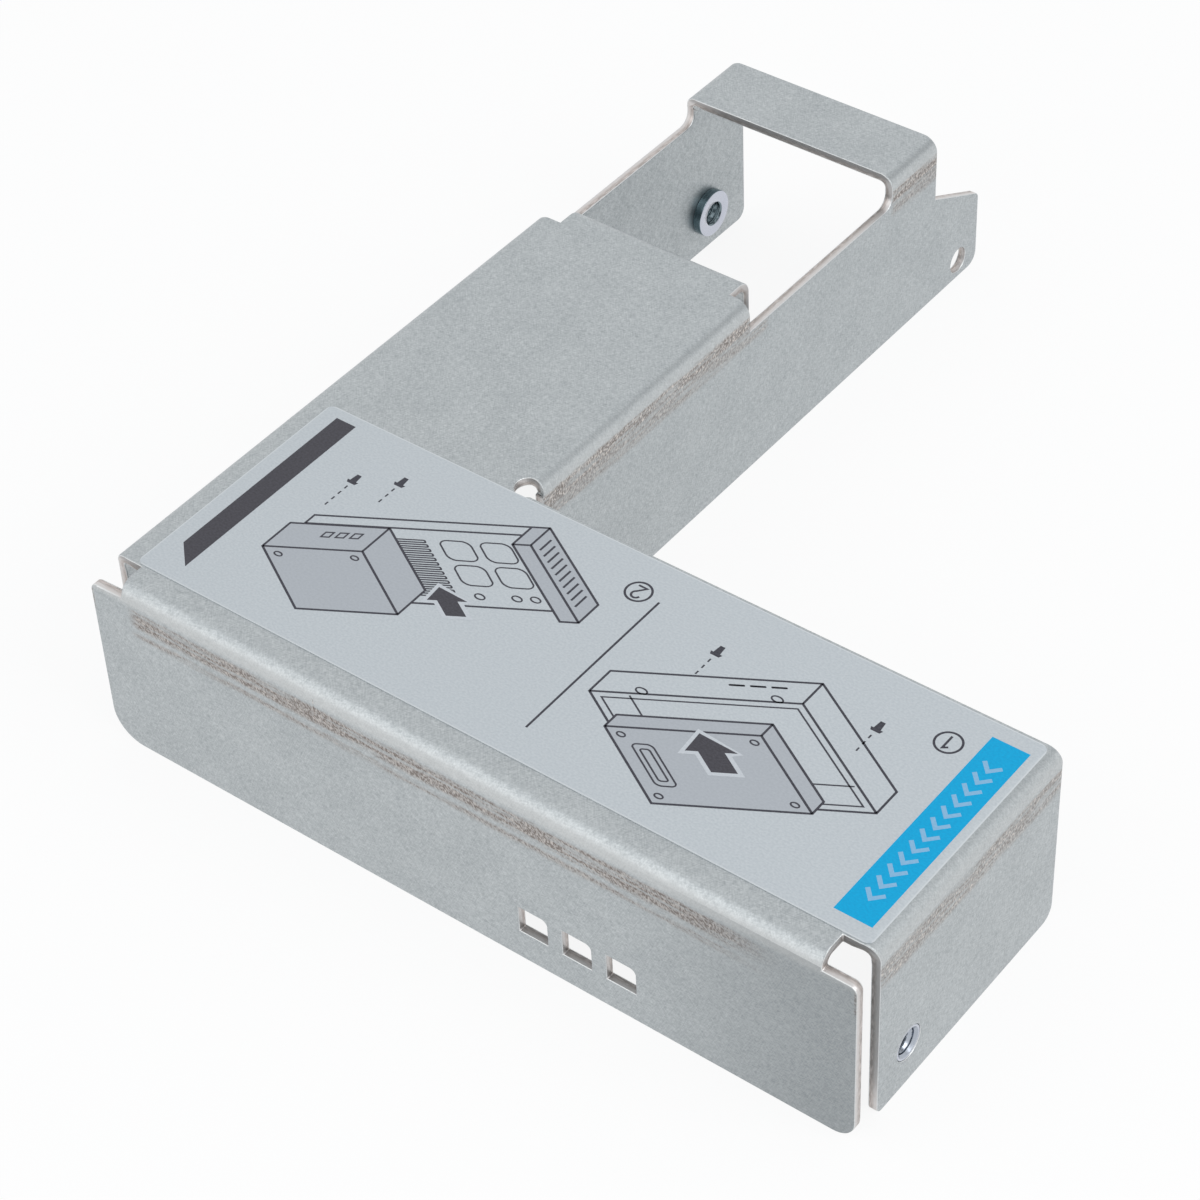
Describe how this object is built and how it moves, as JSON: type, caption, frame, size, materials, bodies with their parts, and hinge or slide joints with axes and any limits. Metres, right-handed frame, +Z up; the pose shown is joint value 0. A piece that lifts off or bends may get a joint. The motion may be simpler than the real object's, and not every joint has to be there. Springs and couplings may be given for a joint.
{
  "type": "drive bay adapter bracket",
  "caption": "L-shaped folded sheet-steel bracket that carries a small drive on its inner flange and screws into the side walls of a bay for a larger drive.",
  "frame": {"origin": "middle of the bounding box, at the level that the flanges stand on", "axes": "+X from the left side flange to the right one, +Y from the front flange to the tail, +Z up through the top plate"},
  "size_m": [0.1, 0.1284, 0.025],
  "materials": {
    "zinc_sheet": "satin zinc-plated sheet with fine grain and scuffed fold lines",
    "zinc_nut": "bright zinc",
    "label_film": "satin printed film"
  },
  "bodies": {
    "root": {"folded_bracket": "zinc_sheet", "front_left_nut": "zinc_nut", "rear_left_nut": "zinc_nut", "front_right_nut": "zinc_nut", "instruction_label": "label_film"}
  },
  "joints": []
}
